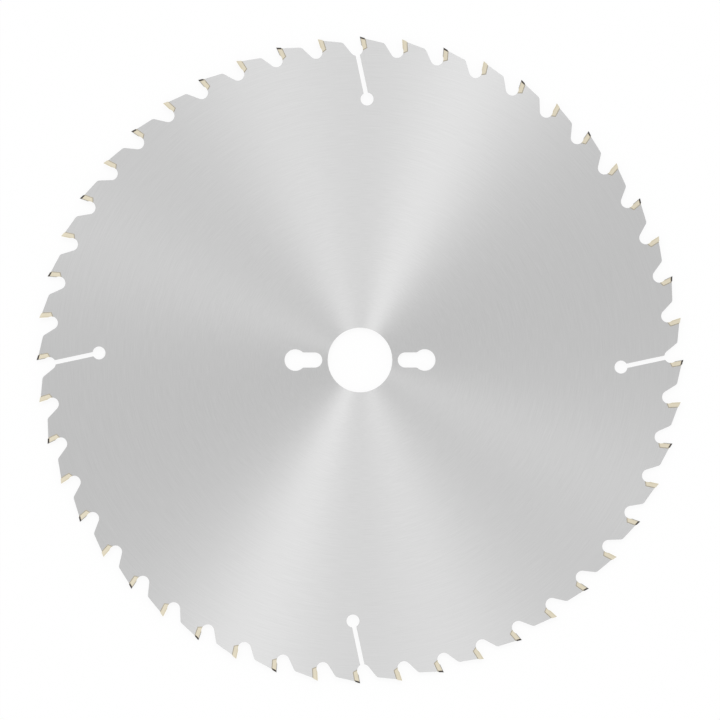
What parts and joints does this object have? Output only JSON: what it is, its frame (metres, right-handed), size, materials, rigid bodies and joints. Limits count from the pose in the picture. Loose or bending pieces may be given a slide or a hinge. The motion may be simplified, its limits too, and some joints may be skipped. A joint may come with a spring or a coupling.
{
  "type": "circular saw blade",
  "caption": "Flat steel saw blade with brazed carbide tips on hooked teeth, round gullets, leaning expansion slots, a plain arbor bore and keyhole drive pin holes.",
  "frame": {"origin": "centre of the arbor bore, half way through the plate", "axes": "+Z along the arbor axis, out of the face from which the teeth point counter-clockwise; +Y through the cutting point of tip_01; the drive pin holes lie on the X axis"},
  "size_m": [0.3, 0.3, 0.0032],
  "materials": {
    "plate_steel": "satin",
    "carbide": "matte",
    "braze": "satin"
  },
  "bodies": {
    "root": {"blade_body": "plate_steel", "braze_joints": "braze", "tip_01": "carbide", "tip_02": "carbide", "tip_03": "carbide", "tip_04": "carbide", "tip_05": "carbide", "tip_06": "carbide", "tip_07": "carbide", "tip_08": "carbide", "tip_09": "carbide", "tip_10": "carbide", "tip_11": "carbide", "tip_12": "carbide", "tip_13": "carbide", "tip_14": "carbide", "tip_15": "carbide", "tip_16": "carbide", "tip_17": "carbide", "tip_18": "carbide", "tip_19": "carbide", "tip_20": "carbide", "tip_21": "carbide", "tip_22": "carbide", "tip_23": "carbide", "tip_24": "carbide", "tip_25": "carbide", "tip_26": "carbide", "tip_27": "carbide", "tip_28": "carbide", "tip_29": "carbide", "tip_30": "carbide", "tip_31": "carbide", "tip_32": "carbide", "tip_33": "carbide", "tip_34": "carbide", "tip_35": "carbide", "tip_36": "carbide", "tip_37": "carbide", "tip_38": "carbide", "tip_39": "carbide", "tip_40": "carbide", "tip_41": "carbide", "tip_42": "carbide", "tip_43": "carbide", "tip_44": "carbide", "tip_45": "carbide", "tip_46": "carbide", "tip_47": "carbide", "tip_48": "carbide"}
  },
  "joints": []
}
